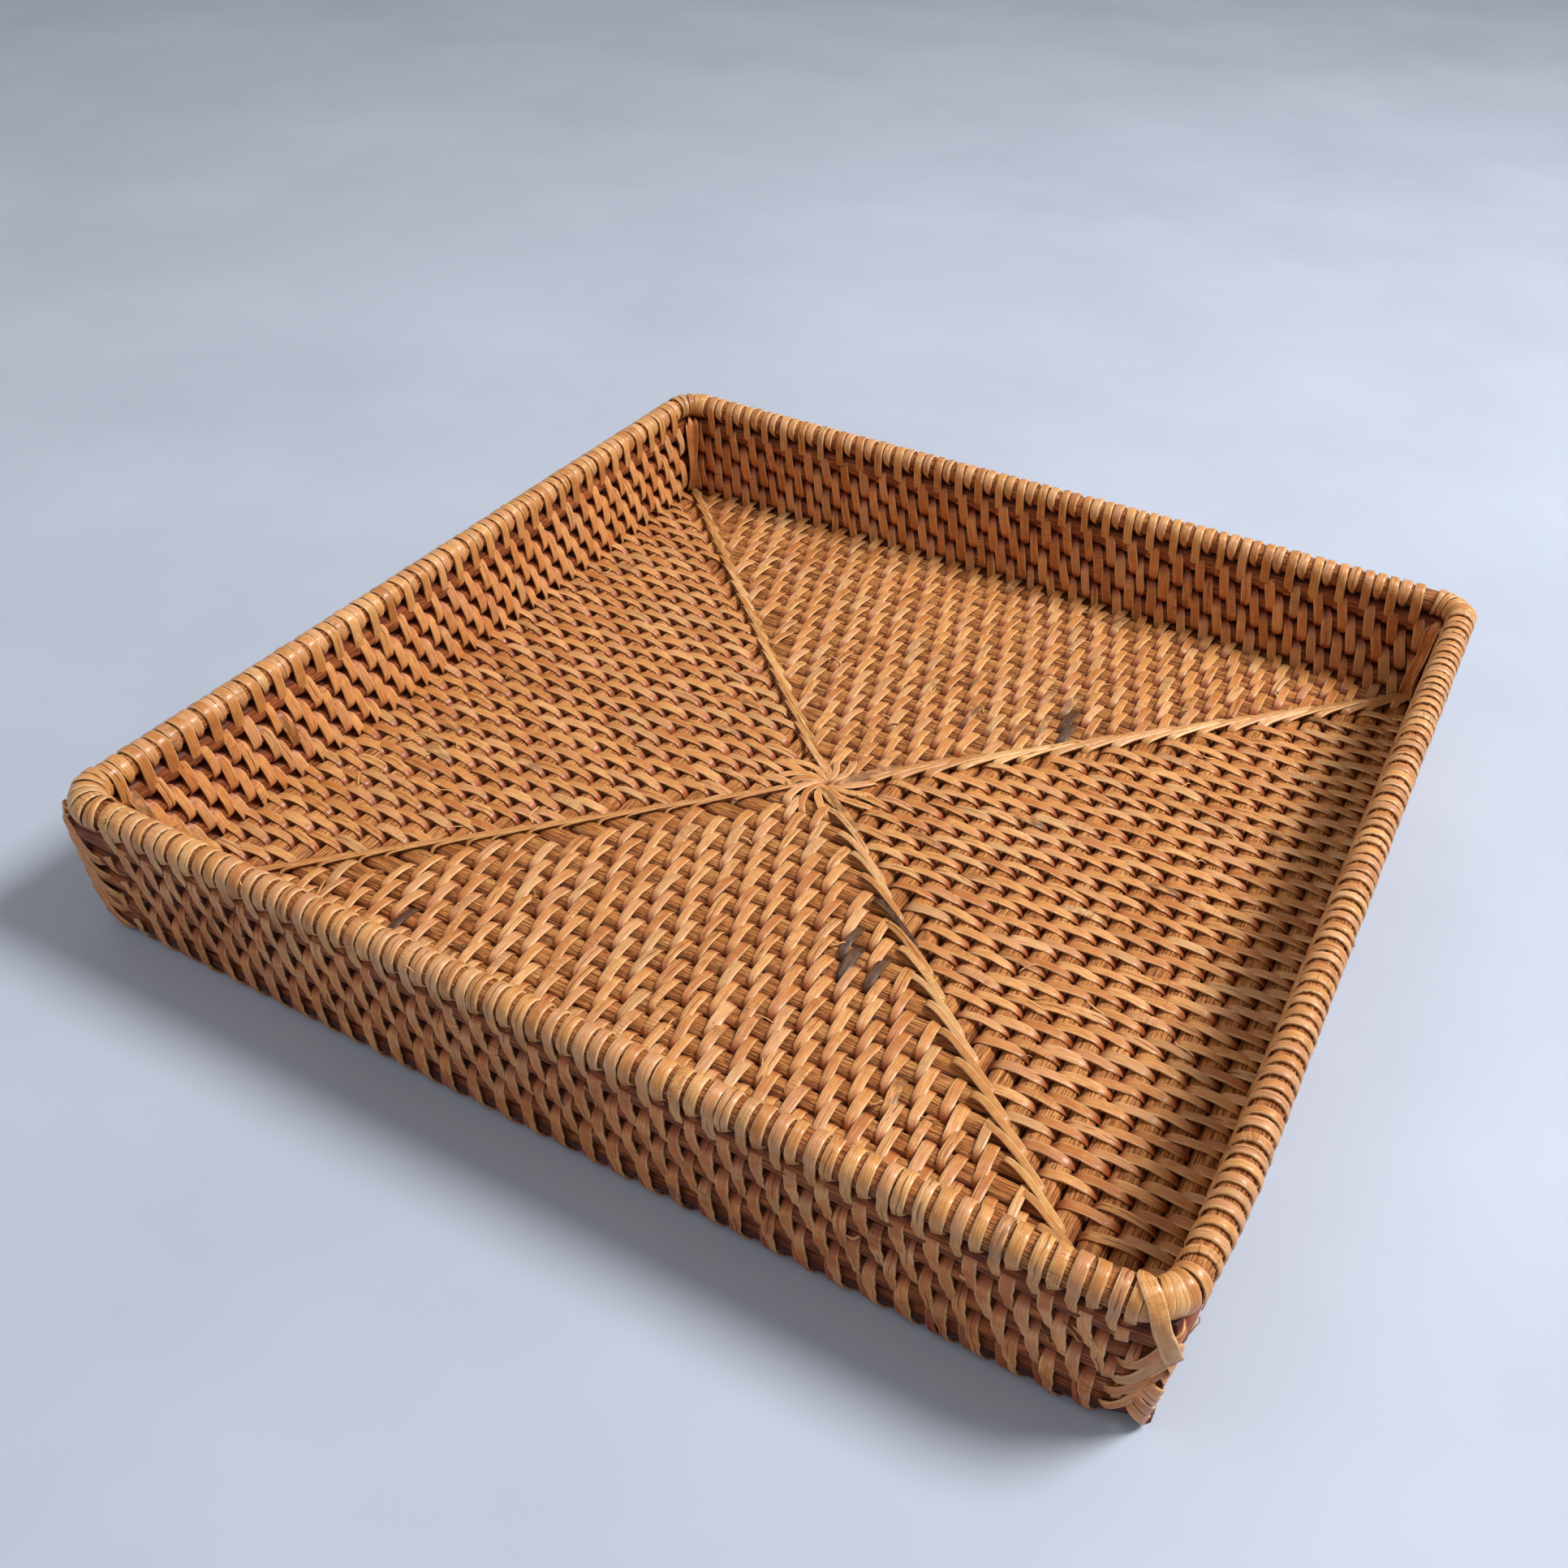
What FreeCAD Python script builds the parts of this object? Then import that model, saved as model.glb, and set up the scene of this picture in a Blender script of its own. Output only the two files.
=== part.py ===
import FreeCAD, Part
import math
import os
from FreeCAD import Vector

# Square coiled-rattan serving tray.
# Millimetres, +Z up, origin on the ground under the middle of the tray.
# The floor is a set of square rings of rattan core, the wall is the same coil
# stacked upwards, and a thicker rod makes the rim.  Strips of rattan peel bind
# every ring to its neighbour: each strip is a closed band round two rods.
# Every side of the tray is the front (-Y) side turned by a quarter turn.

# ---------------------------------------------------------------- dimensions
FLOOR_PITCH = 7.0        # spacing of the floor rings
FLOOR_RINGS = 20         # rings inside the base ring
CORE_R = 3.1             # floor and base core radius
WALL_R = 2.75            # wall core radius
RIM_R = 3.5              # rim rod radius
PEEL_T = 0.8             # thickness of the binding peel
PEEL_W = 2.5             # width of the floor binding
PEEL_W_TURN = 2.6        # width of the binding that turns the foot of the wall
PEEL_W_WALL = 3.1        # width of the wall and rim binding
STITCH = 8.0             # spacing of the stitches along a rod
EDGE_CLEAR = 0.15        # air left beside a mitre strip

BASE_HALF = (FLOOR_RINGS + 0.5) * FLOOR_PITCH     # half side of the base ring
BASE_Z = CORE_R + PEEL_T                          # height of the floor rods
WALL_RODS = 4                                     # rods between base and rim
WALL_FIRST = CORE_R + WALL_R + 2 * PEEL_T         # base rod to first wall rod
WALL_PITCH = 2 * WALL_R + 2 * PEEL_T              # wall rod to wall rod
RIM_STEP = WALL_R + RIM_R + 2 * PEEL_T            # last wall rod to the rim
RIM_Z = BASE_Z + WALL_FIRST + (WALL_RODS - 1) * WALL_PITCH + RIM_STEP
LEAN = 2.1               # how far the wall leans out from base to rim
RIM_HALF = BASE_HALF + LEAN
RIM_BEND = 9.0           # bend radius of the rim at the corners

MITRE_T = 0.4            # thickness of the strips along the floor mitres
MITRE_RUN = 2.2          # their reach along the rod on each side of the mitre
LACE_RUN = 2.6           # the same for the lacing of the upright corners

WRAP_DEG = 24.0          # angle covered by one wrap at a rim corner
WRAP_STEP = 30.0

TAIL_R = 2.6             # cut end of the core at the front corner
TAIL_X = 141.0
TAIL_Z = 2.9
TAIL_LEN = 2.9

OUT = "parts"
os.makedirs(OUT, exist_ok=True)


# ------------------------------------------------------------------- helpers
def ring_half(k):
    return (k - 0.5) * FLOOR_PITCH


def wall_z(j):
    """Height of wall rod j (1 is the lowest)."""
    return BASE_Z + WALL_FIRST + (j - 1) * WALL_PITCH


def wall_half(z):
    return BASE_HALF + LEAN * (z - BASE_Z) / (RIM_Z - BASE_Z)


def turned(shape, quarter):
    s = shape.copy()
    if quarter:
        s.rotate(Vector(0, 0, 0), Vector(0, 0, 1), 90.0 * quarter)
    return s


def moved(shape, x):
    s = shape.copy()
    s.translate(Vector(x, 0, 0))
    return s


def export(name, solids):
    Part.makeCompound(solids).exportStep("%s/%s.step" % (OUT, name))


# A rod is (distance out from the centre, height, radius).
def pt(c, rad, ang, x):
    return Vector(x, -(c[0] + rad * math.cos(ang)), c[1] + rad * math.sin(ang))


def loop(a, b, grow, x):
    """Closed outline round rods a and b, grown by grow, in the plane X = x."""
    length = math.hypot(b[0] - a[0], b[1] - a[1])
    along = math.atan2(b[1] - a[1], b[0] - a[0])
    tang = math.acos((a[2] - b[2]) / length)
    ra, rb = a[2] + grow, b[2] + grow
    a1, a2 = pt(a, ra, along + tang, x), pt(a, ra, along - tang, x)
    b1, b2 = pt(b, rb, along + tang, x), pt(b, rb, along - tang, x)
    arc_a = Part.Arc(a1, pt(a, ra, along + math.pi, x), a2).toShape()
    arc_b = Part.Arc(b2, pt(b, rb, along, x), b1).toShape()
    return Part.Wire([arc_a, Part.makeLine(a2, b2), arc_b, Part.makeLine(b1, a1)])


def band(a, b, width, thick):
    """Flat strip bent into a closed band round rods a and b, centred on X = 0."""
    x = -width / 2.0
    hole = loop(a, b, 0.0, x)
    hole.reverse()
    face = Part.Face([loop(a, b, thick, x), hole])
    return face.extrude(Vector(width, 0, 0))


def collar(a, width, thick):
    """One wrap round the single rod a, centred on X = 0."""
    c = Vector(-width / 2.0, -a[0], a[1])
    outer = Part.makeCylinder(a[2] + thick, width, c, Vector(1, 0, 0))
    return outer.cut(Part.makeCylinder(a[2], width, c, Vector(1, 0, 0)))


def mitred_rod(half, z, rad):
    """Front side of a square ring, cut at 45 degrees at both ends."""
    far = half + rad + 2.0
    rod = Part.makeCylinder(rad, 2 * far, Vector(-far, -half, z), Vector(1, 0, 0))
    tri = Part.makePolygon([Vector(0, 0, z - rad - 1), Vector(-far, -far, z - rad - 1),
                            Vector(far, -far, z - rad - 1), Vector(0, 0, z - rad - 1)])
    wedge = Part.Face(tri).extrude(Vector(0, 0, 2 * rad + 2))
    return rod.common(wedge)


def square(rod):
    return [turned(rod, q) for q in range(4)]


def mitre_band(a, b, run, thick):
    """Band on the +X end of the front side, cut along the mitre plane.

    Its two halves meet on the mitre, so it follows the corner of both rings.
    """
    d0 = min(a[0] - a[2], b[0] - b[2]) - thick - 1.0
    d1 = max(a[0] + a[2], b[0] + b[2]) + thick + 1.0
    long_band = moved(band(a, b, d1 - d0 + run + 4.0, thick), (d0 + d1 - run) / 2.0)
    z0 = min(a[1] - a[2], b[1] - b[2]) - thick - 1.0
    z1 = max(a[1] + a[2], b[1] + b[2]) + thick + 1.0
    quad = [Vector(d0, -d0, z0), Vector(d1, -d1, z0), Vector(d1 - run, -d1, z0),
            Vector(d0 - run, -d0, z0), Vector(d0, -d0, z0)]
    prism = Part.Face(Part.makePolygon(quad)).extrude(Vector(0, 0, z1 - z0))
    half = long_band.common(prism)
    other = half.mirror(Vector(0, 0, 0), Vector(1, 1, 0))
    both = half.fuse(other).removeSplitter()
    return both.Solids


def stitches(shape, phase, limit):
    """Copies of a front-side band along the rod, on all four sides."""
    out = []
    n = int(limit / STITCH) + 2
    for i in range(-n, n + 1):
        x = phase + i * STITCH
        if abs(x) <= limit + 1e-6:
            out.append(moved(shape, x))
    return [turned(s, q) for q in range(4) for s in out]


def phase_of(row):
    """Floor stitches step sideways by a third of their spacing each row."""
    return (row * STITCH / 3.0) % STITCH


# ---------------------------------------------------------------- core rods
base = (BASE_HALF, BASE_Z, CORE_R)
floor = {k: (ring_half(k), BASE_Z, CORE_R) for k in range(1, FLOOR_RINGS + 1)}
floor[FLOOR_RINGS + 1] = base
wall = {j: (wall_half(wall_z(j)), wall_z(j), WALL_R) for j in range(1, WALL_RODS + 1)}
rim = (RIM_HALF, RIM_Z, RIM_R)

for k in range(1, FLOOR_RINGS + 1):
    export("floor_coil_%02d" % k, square(mitred_rod(*floor[k])))
export("base_coil", square(mitred_rod(*base)))
for j in range(1, WALL_RODS + 1):
    export("wall_coil_%d" % j, square(mitred_rod(*wall[j])))

straight = RIM_HALF - RIM_BEND
rim_side = Part.makeCylinder(RIM_R, 2 * straight, Vector(-straight, -RIM_HALF, RIM_Z),
                             Vector(1, 0, 0))
bend_axis = Vector(straight, -straight, 0)


def bend(inner, outer, start, sweep):
    """Part of the front right rim bend, between two radii and two angles."""
    c = Vector(straight, -RIM_HALF, RIM_Z)
    wires = [Part.Wire(Part.Circle(c, Vector(1, 0, 0), outer).toShape())]
    if inner > 0:
        hole = Part.Wire(Part.Circle(c, Vector(1, 0, 0), inner).toShape())
        hole.reverse()
        wires.append(hole)
    face = Part.Face(wires)
    s = face.revolve(bend_axis, Vector(0, 0, 1), sweep)
    s.rotate(bend_axis, Vector(0, 0, 1), start)
    return s


rim_corner = [bend(0, RIM_R, 0, 45.0), bend(0, RIM_R, 45.0, 45.0)]
export("rim_rod", square(rim_side) + [turned(s, q) for q in range(4) for s in rim_corner])

# ------------------------------------------------------------ floor binding
for k in range(2, FLOOR_RINGS + 1):
    a, b = floor[k], floor[k + 1]
    inner_end = a[0] - a[2] - PEEL_T
    limit = inner_end - MITRE_RUN - EDGE_CLEAR - PEEL_W / 2.0
    export("floor_binding_%02d" % k, stitches(band(a, b, PEEL_W, PEEL_T), phase_of(k), limit))

# One band lashes the innermost ring across the middle.
start = (-floor[1][0], BASE_Z, CORE_R)
export("centre_lashing", [band(start, floor[1], PEEL_W, PEEL_T)])

# ------------------------------------------------------------- wall binding
wall_limit = wall[1][0] - WALL_R - PEEL_T - LACE_RUN - EDGE_CLEAR - PEEL_W_WALL / 2.0
turn = phase_of(FLOOR_RINGS + 1)
rods = [base] + [wall[j] for j in range(1, WALL_RODS + 1)]
for j in range(WALL_RODS):
    w = PEEL_W_TURN if j == 0 else PEEL_W_WALL
    export("wall_binding_%d" % (j + 1),
           stitches(band(rods[j], rods[j + 1], w, PEEL_T),
                    turn + (j % 2) * STITCH / 2.0, wall_limit))

# -------------------------------------------------------------- rim binding
rim_limit = straight - PEEL_W_WALL / 2.0
export("rim_binding_long",
       stitches(band(wall[WALL_RODS], rim, PEEL_W_WALL, PEEL_T), turn, rim_limit))
export("rim_binding_short",
       stitches(collar(rim, PEEL_W_WALL, PEEL_T), turn + STITCH / 2.0, rim_limit))
wraps = [bend(RIM_R, RIM_R + PEEL_T, (WRAP_STEP - WRAP_DEG) / 2.0 + i * WRAP_STEP, WRAP_DEG)
         for i in range(3)]
export("rim_corner_wraps", [turned(s, q) for q in range(4) for s in wraps])

# ------------------------------------------------ mitre strips, corner lacing
mitres = []
for k in range(2, FLOOR_RINGS + 1, 2):
    mitres += mitre_band(floor[k], floor[k + 1], MITRE_RUN, MITRE_T)
for q, side in enumerate(("front", "right", "back", "left")):
    export("mitre_strips_%s" % side, [turned(s, q) for s in mitres])

lacing = []
for j in (1, 3):
    lacing += mitre_band(wall[j], wall[j + 1], LACE_RUN, PEEL_T)
export("corner_lacing", [turned(s, q) for q in range(4) for s in lacing])

# ---------------------------------------------------------------- core tail
tail = Part.makeCylinder(TAIL_R, TAIL_LEN, Vector(TAIL_X, -BASE_HALF - CORE_R - 0.1, TAIL_Z),
                         Vector(0, -1, 0))
export("core_tail", [tail])
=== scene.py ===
import math
import bpy
import numpy as np
from mathutils import Matrix, Vector


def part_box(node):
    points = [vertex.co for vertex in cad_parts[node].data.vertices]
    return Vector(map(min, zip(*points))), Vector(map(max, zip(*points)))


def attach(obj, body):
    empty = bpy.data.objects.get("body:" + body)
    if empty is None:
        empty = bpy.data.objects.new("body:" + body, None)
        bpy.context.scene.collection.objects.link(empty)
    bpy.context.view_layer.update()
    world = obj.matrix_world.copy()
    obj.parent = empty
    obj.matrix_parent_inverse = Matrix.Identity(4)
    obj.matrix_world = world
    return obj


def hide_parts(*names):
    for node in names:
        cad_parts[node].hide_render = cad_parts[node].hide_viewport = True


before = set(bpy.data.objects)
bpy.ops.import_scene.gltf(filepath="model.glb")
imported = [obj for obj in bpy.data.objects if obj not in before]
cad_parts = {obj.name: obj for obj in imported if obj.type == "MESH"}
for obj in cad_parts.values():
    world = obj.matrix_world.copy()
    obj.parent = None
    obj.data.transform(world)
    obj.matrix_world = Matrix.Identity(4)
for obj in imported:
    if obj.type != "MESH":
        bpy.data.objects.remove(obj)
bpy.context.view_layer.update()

MM = 0.001


# ------------------------------------------------------------ sizes, from CAD
def node_box(name):
    lo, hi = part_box(name)
    return np.array(lo) / MM, np.array(hi) / MM


def rod_of(name):
    """(half side, height, radius) of a square rod, in millimetres."""
    lo, hi = node_box(name)
    r = (hi[2] - lo[2]) / 2.0
    return hi[0] - r, (hi[2] + lo[2]) / 2.0, r


FLOOR = 20
RING = {k: rod_of("floor_coil_%02d" % k) for k in range(1, FLOOR + 1)}
RING[FLOOR + 1] = rod_of("base_coil")
WALL = {j: rod_of("wall_coil_%d" % j) for j in range(1, 5)}
WALL[0] = RING[FLOOR + 1]
RIM = rod_of("rim_rod")
PITCH = RING[2][0] - RING[1][0]
RIM_BEND = 9.0
RIM_FLAT = RIM[0] - RIM_BEND
STEP = 8.0
PEEL_T = 0.8


# ------------------------------------------------------------------ mesh soup
class Soup:
    def __init__(self):
        self.v, self.f, self.fib, self.tone, self.mark, self.edge, self.n = [], [], [], [], [], [], 0

    def add(self, v, f, fib, tone, mark, edge=None):
        self.edge.append(np.zeros(len(v)) if edge is None else edge)
        self.v.append(v)
        self.f.append(f + self.n)
        self.fib.append(fib)
        self.tone.append(tone)
        self.mark.append(mark)
        self.n += len(v)


def turned(p, q):
    c, s = [(1, 0), (0, 1), (-1, 0), (0, -1)][q % 4]
    out = p.copy()
    out[..., 0] = c * p[..., 0] - s * p[..., 1]
    out[..., 1] = s * p[..., 0] + c * p[..., 1]
    return out


# The rings of the real floor are not quite even: the middle sits a few
# millimetres off, and the offset fades out at the base ring.
OFF_CENTRE = np.array([-3.7, -1.4])


def build(name, soup, material, stands_for=(), floor=False):
    v = np.concatenate(soup.v)
    if floor:
        far = np.clip(np.abs(v[:, :2]).max(1) / RING[FLOOR + 1][0], 0, 1)
        v[:, :2] += OFF_CENTRE[None] * (1 - far)[:, None]
    # the front corner is pulled in a little by its crossing strip
    pull = np.exp(-(np.maximum(0, RIM[0] - v[:, 0]) / 9.0) ** 2 - (np.maximum(0, RIM[0] + v[:, 1]) / 22.0) ** 2)
    pull *= 1.0 + 0.9 * np.clip(1 - v[:, 2] / 38.0, 0, 1)
    v[:, :2] += np.array([-1.8, 1.2])[None] * pull[:, None]
    v[:, 2] = np.maximum(v[:, 2], 0.02)
    v = v * MM
    f = np.concatenate(soup.f)
    me = bpy.data.meshes.new(name)
    me.vertices.add(len(v))
    me.vertices.foreach_set("co", v.astype(np.float32).ravel())
    me.loops.add(f.size)
    me.loops.foreach_set("vertex_index", f.astype(np.int32).ravel())
    me.polygons.add(len(f))
    me.polygons.foreach_set("loop_start", np.arange(0, f.size, 4, dtype=np.int32))
    me.polygons.foreach_set("use_smooth", np.ones(len(f), bool))
    for key, data in (("fib", soup.fib), ("tone", soup.tone), ("mark", soup.mark)):
        a = me.attributes.new(key, "FLOAT_VECTOR", "POINT")
        a.data.foreach_set("vector", np.concatenate(data).astype(np.float32).ravel())
    a = me.attributes.new("edge", "FLOAT", "POINT")
    a.data.foreach_set("value", np.concatenate(soup.edge).astype(np.float32))
    me.update(calc_edges=True)
    me.validate()
    me.materials.append(material)
    ob = bpy.data.objects.new(name, me)
    bpy.context.scene.collection.objects.link(ob)
    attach(ob, "root")
    if stands_for:
        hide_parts(*stands_for)
    return ob


# Cross-section of a peel strip: flat underneath, crowned on top.
PROFILE = np.array([(-1, 0), (-1, .66), (-.91, .90), (-.40, 1), (.40, 1), (.91, .90), (1, .66), (1, 0)], float)
# Painted highlight per profile point: full on the sides, less on the shoulders, none on the top.
EDGE_HIGHLIGHT = np.array([1, 1, .75, 0, 0, .75, 1, 1], float)
CAP = np.array([(0, 1, 6, 7), (1, 2, 5, 6), (2, 3, 4, 5)])


def ribbon(soup, P, N, width, thick, tone, mark, seed, along0=0.0, roll=None):
    """Sweeps the strip profile along P (n,3) with outward normals N (n,3)."""
    n = len(P)
    T = np.gradient(P, axis=0)
    T /= np.linalg.norm(T, axis=1)[:, None] + 1e-9
    N = N - T * (N * T).sum(1)[:, None]
    N /= np.linalg.norm(N, axis=1)[:, None] + 1e-9
    B = np.cross(T, N)
    if roll is not None:
        c, s = np.cos(roll)[:, None], np.sin(roll)[:, None]
        B, N = B * c + N * s, N * c - B * s
    m = len(PROFILE)
    w = np.broadcast_to(width, n)[:, None] / 2.0
    t = np.broadcast_to(thick, n)[:, None]
    a = PROFILE[None, :, 0] * w
    b = PROFILE[None, :, 1] * t
    V = P[:, None, :] + B[:, None, :] * a[..., None] + N[:, None, :] * b[..., None]
    i = np.arange(n - 1)[:, None]
    j = np.arange(m)[None, :]
    k = (j + 1) % m
    F = np.stack([i * m + j, i * m + k, (i + 1) * m + k, (i + 1) * m + j], -1).reshape(-1, 4)
    F = np.concatenate([F, CAP[:, ::-1], CAP + (n - 1) * m])
    d = np.r_[0, np.cumsum(np.linalg.norm(np.diff(P, axis=0), axis=1))] + along0
    fib = np.empty((n, m, 3))
    fib[..., 0] = d[:, None]
    fib[..., 1] = a * 1.02
    fib[..., 2] = seed
    tone = np.repeat(np.broadcast_to(tone, (n, 3))[:, None, :], m, 1)
    mark = np.repeat(np.broadcast_to(mark, (n, 3))[:, None, :], m, 1)
    soup.add(V.reshape(-1, 3), F, fib.reshape(-1, 3), tone.reshape(-1, 3), mark.reshape(-1, 3), np.tile(EDGE_HIGHLIGHT, n))


def spline(points, n):
    """n points on a smooth curve through the given ones (Catmull-Rom)."""
    p = np.array(points, float)
    q = np.vstack([2 * p[0] - p[1], p, 2 * p[-1] - p[-2]])
    k = np.linspace(0, len(p) - 1, n)
    i = np.minimum(k.astype(int), len(p) - 2)
    t = (k - i)[:, None]
    a, b, c, d = q[i], q[i + 1], q[i + 2], q[i + 3]
    return 0.5 * (2 * b + (c - a) * t + (2 * a - 5 * b + 4 * c - d) * t ** 2 + (3 * b - a - 3 * c + d) * t ** 3)


def loose(soup, q, points, normals, width, thick, rng, kind="mitre", n=16, ends=(0.75, 0.75), dive=(0.12, 0.12), tone=None, mark=None, roll=0.0):
    """One short strip along a smooth curve, turned to side q."""
    P, N = spline(points, n), spline(normals, n)
    s = np.linspace(0, 1, n)
    w = np.ones(n)
    w *= 1 - (1 - ends[0]) * np.clip(1 - s / 0.18, 0, 1)
    w *= 1 - (1 - ends[1]) * np.clip(1 - (1 - s) / 0.18, 0, 1)
    tn, mk = looks(rng, kind)
    tn = tone or tn
    mk = mark or mk
    # tone z is painted shade at the ends, where the strip dives down
    dv = np.maximum(np.clip(1 - s / max(dive[0], 1e-6), 0, 1), np.clip(1 - (1 - s) / max(dive[1], 1e-6), 0, 1))
    to = np.stack([np.full(n, tn[0]), np.full(n, tn[1]), dv * 0.9], 1)
    seed = float(rng.uniform(0, 90))
    ribbon(soup, turned(P, q), turned(N, q), width * w, thick, to, np.tile(np.array(mk, float), (n, 1)), seed,
           along0=seed * 17.0, roll=np.full(n, roll))


# -------------------------------------------------------------- bound strips
ARC = 8
RUN = 4


def wrap2d(a, b, grow, bulge):
    """One turn round rods a and b as (d, z, nd, nz, part, share) rows.

    It starts in the middle of the outer (or under) run.  Parts: 0 first half
    of that run, 1 round a, 2 inner (or upper) run, 3 round b, 4 second half.
    """
    length = math.hypot(b[0] - a[0], b[1] - a[1])
    al = math.atan2(b[1] - a[1], b[0] - a[0])
    tg = math.acos((a[2] - b[2]) / length)
    ra, rb = a[2] + grow, b[2] + grow

    def on(c, r, ang):
        return np.array([c[0] + r * math.cos(ang), c[1] + r * math.sin(ang), math.cos(ang), math.sin(ang)])
    a1, a2, b1, b2 = on(a, ra, al + tg), on(a, ra, al - tg), on(b, rb, al + tg), on(b, rb, al - tg)
    mid = (a2 + b2) / 2
    rows = []
    for s in (0.0, 0.5):
        rows.append(np.r_[mid * (1 - s) + a2 * s, 0, s])
    for s in np.linspace(0, 1, ARC):
        rows.append(np.r_[on(a, ra, al - tg - s * (2 * math.pi - 2 * tg)), 1, s])
    for s in np.linspace(0, 1, RUN + 2)[1:-1]:
        p = a1 * (1 - s) + b1 * s
        lift = bulge * math.sin(math.pi * s)
        p[0] += p[2] * lift
        p[1] += p[3] * lift
        rows.append(np.r_[p, 2, s])
    for s in np.linspace(0, 1, ARC):
        rows.append(np.r_[on(b, rb, al + tg - s * 2 * tg), 3, s])
    rows.append(np.r_[b2 * 0.5 + mid * 0.5, 4, 0.5])
    return np.array(rows)


def wrap1d(a, grow):
    """One turn round the single rod a, starting on the outer side, low."""
    rows = []
    for s in np.linspace(0, 1, 16)[:-1]:
        ang = math.radians(-35) - s * 2 * math.pi
        rows.append([a[0] + (a[2] + grow) * math.cos(ang), a[1] + (a[2] + grow) * math.sin(ang),
                     math.cos(ang), math.sin(ang), 5, s])
    return np.array(rows)


def bind(soup, q, turns, seed, rng):
    """One continuous strip through all the turns of one side.

    A turn is a dict: c (centre of outer run), pitch to the next, rods, and looks, including painted shade.
    """
    P, N, W, TH, TO, MA, RO = [], [], [], [], [], [], []
    for i, t in enumerate(turns):
        nxt = t["c"] + t["pitch"]
        if t.get("b") is not None:
            rows = wrap2d(t["a"], t["b"], 0.06 + t.get("lift", 0), t.get("bulge", 0.3))
            lo, li, de = t["lo"], t["li"], t["delta"]
            key = {0: (t["c"], t["c"] + lo / 2), 1: (t["c"] + lo / 2, t["c"] + de - li / 2),
                   2: (t["c"] + de - li / 2, t["c"] + de + li / 2), 3: (t["c"] + de + li / 2, nxt - lo / 2),
                   4: (nxt - lo / 2, nxt)}
            part, s = rows[:, 4], rows[:, 5]
            e = np.where(part == 1, np.clip(s / 0.6, 0, 1), np.clip(s / (0.72 if t.get("flip") else 0.5), 0, 1))
            e = np.where((part == 1) | (part == 3), e * e * (3 - 2 * e), s)
            u = np.array([key[int(r[4])][0] * (1 - v) + key[int(r[4])][1] * v for r, v in zip(rows, e)])
            bend = np.where(part == 1, np.sin(np.pi * s), 0) + np.where(part == 3, np.sin(np.pi * s) * t.get("topdive", 1.0), 0)
            if t.get("flip"):
                lean = t.get("tip", 0.5) * np.where(part == 3, np.sin(np.pi * np.clip(s / 0.8, 0, 1)) ** 0.8, 0)
            else:
                lean = t.get("tip", 0.5) * np.where(part == 1, np.clip(0.5 + s / 0.3 * 0.5, 0, 1) * np.clip((0.8 - s) / 0.3, 0, 1),
                                                    np.where(part == 0, 0.9 * s, 0))
        else:
            rows = wrap1d(t["a"], 0.06 + t.get("lift", 0))
            e = np.clip(rows[:, 5] / 0.5, 0, 1)
            u = t["c"] + (nxt - t["c"]) * e * e * (3 - 2 * e)
            lean = t.get("tip", 0.5) * np.interp(rows[:, 5], [0, 0.06, 0.12, 0.25, 0.42, 0.86, 0.94, 1], [0.45, 0.8, 1, 1, 0, 0, 0.2, 0.45])
            bend = np.clip(np.cos(rows[:, 5] * np.pi * 2 - math.radians(55)), 0, 1) ** 2
        ud = t["w"] * lean / 2 * (-1 if t.get("flip") else 1)
        p = np.stack([u + ud, -rows[:, 0], rows[:, 1]], 1)
        nn = np.stack([np.zeros(len(rows)), -rows[:, 2], rows[:, 3]], 1)
        P.append(p)
        N.append(nn)
        W.append(t["w"] * (1 - np.maximum(t.get("taper", 0.2) * bend, lean)))
        TH.append(np.full(len(rows), t.get("t", PEEL_T)))
        # tone z is painted shade: darker round the bends where the strip dives, on the run under the rods, and by the
        # shade key
        under = np.isin(rows[:, 4], (0, 4)) * t.get("under", 0.0)
        TO.append(np.stack([np.full(len(rows), t["tone"][0]), np.full(len(rows), t["tone"][1]),
                            np.clip(bend + under + t.get("shade", 0.0), 0, 1)], 1))
        MA.append(np.tile(np.array(t["mark"], float), (len(rows), 1)))
        RO.append(np.full(len(rows), t.get("roll", 0.0)))
    P, N, W, TH = np.concatenate(P), np.concatenate(N), np.concatenate(W), np.concatenate(TH)
    TO, MA, RO = np.concatenate(TO), np.concatenate(MA), np.concatenate(RO)
    for x in (W, RO):
        x[1:-1] = (x[:-2] + 2 * x[1:-1] + x[2:]) / 4
    ribbon(soup, turned(P, q), turned(N, q), W, TH, TO, MA, seed, along0=seed * 37.0, roll=RO)


# Burnt or weathered strips seen on the floor: x, y, how dark.
STAINS = [(36.4, -59.7, 0.95), (44.8, -62.2, 1.0), (52.4, -57.0, 0.6), (-73.6, -115.3, 0.9), (48.7, 66.3, 0.9), (-40.5, 20.1, 0.55), (-43.3, 11.2, 0.45)]


def looks(rng, kind):
    """Random tone and marks of one turn."""
    tone = [float(np.clip(rng.normal(0.5, 0.22), 0, 1)), float(rng.random())]
    r = rng.random()
    mark = [0.0, 0.0, 0.0]
    if r < 0.16:
        mark[0] = float(rng.uniform(0.5, 1.0))      # split lengthwise
    elif r < 0.28:
        mark[1] = float(rng.uniform(0.5, 1.0))      # cross ticks
    elif r < 0.30:
        mark[2] = float(rng.uniform(0.3, 0.75))     # dark stain
    elif r < 0.40:
        tone[0] = float(rng.uniform(0.0, 0.25))
    return tone, mark


def side_turns(rng, first, limit, step=STEP, jitter=0.3, before=0.0):
    c = []
    start = -limit - before
    x = start + (first - start) % step
    while x <= limit:
        c.append(x)
        x += step
    return np.array(c) + rng.normal(0, jitter, len(c))


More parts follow.
